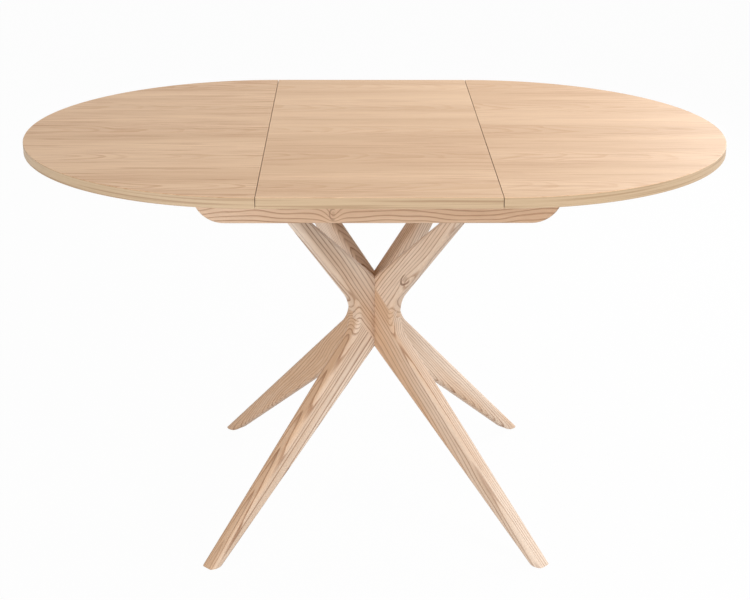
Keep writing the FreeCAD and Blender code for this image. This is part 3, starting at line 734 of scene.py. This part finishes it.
def add_screw(shape, spot, facing, look):
    """Pan head with a round socket that stands on a surface and faces along an axis."""
    standing = set(shape.verts)
    made = bmesh.ops.create_cone(
        shape, cap_ends=True, segments=SCREW_SIDES, radius1=look.screw_radius,
        radius2=look.screw_radius * PAN_TAPER, depth=look.screw_rise * PAN_FLANK)
    faces = {face for vertex in made["verts"] for face in vertex.link_faces}
    cap = max(faces, key=lambda face: face.calc_center_median().z)
    for inwards, upwards in PAN_STEPS:
        bmesh.ops.inset_region(
            shape, faces=[cap], thickness=look.screw_radius * inwards, depth=look.screw_rise * upwards)
    turn = UP.rotation_difference(facing).to_matrix().to_4x4()
    seat = look.screw_rise * PAN_FLANK / 2 - SCREW_SINK
    lift = Matrix.Translation(Vector(spot) + facing * seat)
    fresh = [vertex for vertex in shape.verts if vertex not in standing]
    bmesh.ops.transform(shape, matrix=lift @ turn, verts=fresh)


def clear_of_slide(node, depth, margin):
    """A depth on the side of a rack or runner that faces away from its slide."""
    low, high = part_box(node)
    slide_low, slide_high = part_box(f"{depth}_centre_slide")
    return low.y + margin if low.y + high.y < slide_low.y + slide_high.y else high.y - margin


class TABLE_OT_fit_screws(bpy.types.Operator):
    """Screw the brackets, pivot plates, racks, runners and bearers down"""

    bl_idname = "table.fit_screws"
    bl_label = "Fit Screws"

    def execute(self, context):
        for depth in DEPTHS:
            self.fit(context, f"{depth}_bearer", "base", self.bearer_spots(depth), UP)
            for hand in HANDS:
                half = f"{hand}_half"
                bracket = self.bracket_spots(depth, hand)
                self.fit(context, f"{depth}_{hand}_bracket", "leaf_rear_half", bracket, DOWN)
                self.fit(context, f"{hand}_{depth}_rack", half, self.rack_spots(depth, hand), DOWN)
                self.fit(context, f"{hand}_{depth}_runner", half, self.runner_spots(depth, hand), DOWN)
        for hand in HANDS:
            self.fit(context, f"{hand}_pivot_plate", "base", self.plate_spots(hand), INWARD[hand])
        return {"FINISHED"}

    def fit(self, context, node, body, spots, facing):
        """All the screws of one part as one piece."""
        shape = bmesh.new()
        for spot in spots:
            add_screw(shape, spot, facing, context.scene.table_fitting)
        mesh = bpy.data.meshes.new(node + "_screws")
        shape.to_mesh(mesh)
        shape.free()
        mesh.materials.append(bpy.data.materials["zinc_plated_steel"])
        piece = bpy.data.objects.new(node + "_screws", mesh)
        context.scene.collection.objects.link(piece)
        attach(piece, body)

    def bracket_spots(self, depth, hand):
        low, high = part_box(f"{depth}_{hand}_bracket")
        x = high.x - BRACKET_MARGIN if hand == "left" else low.x + BRACKET_MARGIN
        middle = (low.y + high.y) / 2
        return [(x, middle + step, high.z - BRACKET_FLANGE) for step in (-BRACKET_STEP, BRACKET_STEP)]

    def rack_spots(self, depth, hand):
        node = f"{hand}_{depth}_rack"
        low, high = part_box(node)
        y = clear_of_slide(node, depth, RACK_MARGIN)
        return [(low.x + (high.x - low.x) * share, y, low.z) for share in RACK_SCREWS]

    def runner_spots(self, depth, hand):
        """Along the outer end, past the rack."""
        node = f"{hand}_{depth}_runner"
        low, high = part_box(node)
        rack_low, rack_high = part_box(f"{hand}_{depth}_rack")
        start, stop = (low.x, rack_low.x) if hand == "left" else (high.x, rack_high.x)
        y = clear_of_slide(node, depth, RUNNER_MARGIN)
        return [(start + (stop - start) * share, y, low.z) for share in RUNNER_SCREWS]

    def bearer_spots(self, depth):
        """Two over the top of each arm."""
        low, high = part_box(f"{depth}_bearer")
        middle = (low.y + high.y) / 2
        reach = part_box(f"arm_{depth}_right")[1].x - BEARER_MARGIN
        places = [side * reach + step for side in (-1, 1) for step in (-BEARER_STEP, BEARER_STEP)]
        return [(x, middle, high.z) for x in places]

    def plate_spots(self, hand):
        """Low on the strip between the pivots, clear of the swinging arms."""
        low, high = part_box(f"{hand}_pivot_plate")
        x = low.x + PLATE_THICKNESS if hand == "left" else high.x - PLATE_THICKNESS
        return [(x, low.y + step, low.z + PLATE_MARGIN) for step in PLATE_SCREWS]


# Lamps: where each hangs, its size, and whether shiny surfaces mirror it. The key's mirror image would burn
# out the top in views from behind. All point at a share of the table's height
Lamp = collections.namedtuple("Lamp", "place size mirrored")
LAMPS = {
    "key": Lamp(Vector((2.4, -2.0, 2.1)), 1.6, False),
    "fill": Lamp(Vector((-2.0, -3.0, 0.5)), 2.2, True),
    "sheen": Lamp(Vector((1.9, 1.7, 2.0)), 2.4, True),
}
AIM_SHARE = 0.7
FLOOR_SIDES = 64
SENSOR_WIDTH = 36


def seen_directly(finish):
    """1 for rays from the camera and for those that a mirror or glass sends on."""
    rays = finish.add("ShaderNodeLightPath")
    outputs = rays.socket.node.outputs
    names = ("Is Camera Ray", "Is Glossy Ray", "Is Transmission Ray")
    camera, glossy, through = (Wire(finish, outputs[name]) for name in names)
    return camera.larger(glossy).larger(through)


class TABLE_OT_build_stage(bpy.types.Operator):
    """Lay the floor, light the table softly from three sides and set up the camera"""

    bl_idname = "table.build_stage"
    bl_label = "Build Stage"

    def execute(self, context):
        look = context.scene.table_stage
        self.lay_floor(context, look)
        self.light_world(context, look)
        for name, lamp in LAMPS.items():
            self.hang_light(context, name + "_light", getattr(look, name + "_power"), lamp)
        self.set_camera(context, look)
        context.scene.view_settings.view_transform = "Standard"
        return {"FINISHED"}

    def lay_floor(self, context, look):
        mesh = bpy.data.meshes.new("floor")
        shape = bmesh.new()
        bmesh.ops.create_circle(shape, cap_ends=True, segments=FLOOR_SIDES, radius=look.floor_radius)
        shape.to_mesh(mesh)
        shape.free()
        floor = bpy.data.objects.new("floor", mesh)
        context.scene.collection.objects.link(floor)
        finish = new_finish("pale_floor")
        matt = finish.add("ShaderNodeBsdfDiffuse", sockets={"Color": (*look.floor, 1)})
        glow = finish.add("ShaderNodeEmission", sockets={"Color": WHITE, "Strength": 1.0})
        share = seen_directly(finish) * look.floor_glow
        surface = finish.add("ShaderNodeMixShader", sockets={0: share, 1: matt, 2: glow})
        finish.add("ShaderNodeOutputMaterial", sockets={"Surface": surface})
        mesh.materials.append(finish.owner)

    def light_world(self, context, look):
        context.scene.world = bpy.data.worlds.new("studio")
        sky = Finish(context.scene.world)
        around = sky.add("ShaderNodeBackground", sockets={"Color": WHITE, "Strength": look.ambient})
        behind = sky.add("ShaderNodeBackground", sockets={"Color": WHITE, "Strength": 1.0})
        mixed = sky.add("ShaderNodeMixShader", sockets={0: seen_directly(sky), 1: around, 2: behind})
        sky.add("ShaderNodeOutputWorld", sockets={"Surface": mixed})

    def hang_light(self, context, name, power, lamp):
        light = bpy.data.lights.new(name, "AREA")
        light.energy = power
        light.size = lamp.size
        hung = bpy.data.objects.new(name, light)
        hung.location = lamp.place
        aim = UP * (TOP_HEIGHT * AIM_SHARE)
        hung.rotation_euler = (aim - lamp.place).to_track_quat("-Z", "Y").to_euler()
        hung.visible_glossy = lamp.mirrored
        context.scene.collection.objects.link(hung)

    def set_camera(self, context, look):
        lens = bpy.data.cameras.new("camera")
        lens.lens = look.focal_length
        lens.sensor_width = SENSOR_WIDTH
        camera = bpy.data.objects.new("camera", lens)
        heading = Matrix.Rotation(-look.camera_yaw, 4, "Z")
        tilt = Matrix.Rotation(math.pi / 2 - look.camera_pitch, 4, "X")
        lean = Matrix.Rotation(look.camera_roll, 4, "Z")
        camera.matrix_world = Matrix.Translation(look.camera_place) @ heading @ tilt @ lean
        context.scene.collection.objects.link(camera)
        context.scene.camera = camera


OPERATORS = (
    TABLE_OT_dress_tops,
    TABLE_OT_dress_limbs,
    TABLE_OT_dress_rails,
    TABLE_OT_dress_frame,
    TABLE_OT_dress_fittings,
    TABLE_OT_fit_screws,
    TABLE_OT_build_stage,
)
GROUPS = {"table_ash": AshLook, "table_fitting": FittingLook, "table_stage": StageLook}


class TABLE_PT_sidebar(bpy.types.Panel):
    """Buttons and settings of the table"""

    bl_label = "Butterfly Leaf Table"
    bl_idname = "TABLE_PT_sidebar"
    bl_space_type = "VIEW_3D"
    bl_region_type = "UI"
    bl_category = "Table"

    def draw(self, context):
        for operator in OPERATORS:
            self.layout.operator(operator.bl_idname)
        for group in GROUPS:
            settings = getattr(context.scene, group)
            box = self.layout.box()
            for name in settings.__annotations__:
                box.prop(settings, name)


def register():
    for item in (*GROUPS.values(), *OPERATORS, TABLE_PT_sidebar):
        bpy.utils.register_class(item)
    for name, group in GROUPS.items():
        setattr(bpy.types.Scene, name, bpy.props.PointerProperty(type=group))


def unregister():
    for name in GROUPS:
        delattr(bpy.types.Scene, name)
    for item in (TABLE_PT_sidebar, *reversed(OPERATORS), *reversed(GROUPS.values())):
        bpy.utils.unregister_class(item)


def main():
    register()
    bpy.ops.table.dress_tops()
    bpy.ops.table.dress_limbs()
    bpy.ops.table.dress_rails()
    bpy.ops.table.dress_frame()
    bpy.ops.table.dress_fittings()
    bpy.ops.table.fit_screws()
    bpy.ops.table.build_stage()


if __name__ == "__main__":
    main()
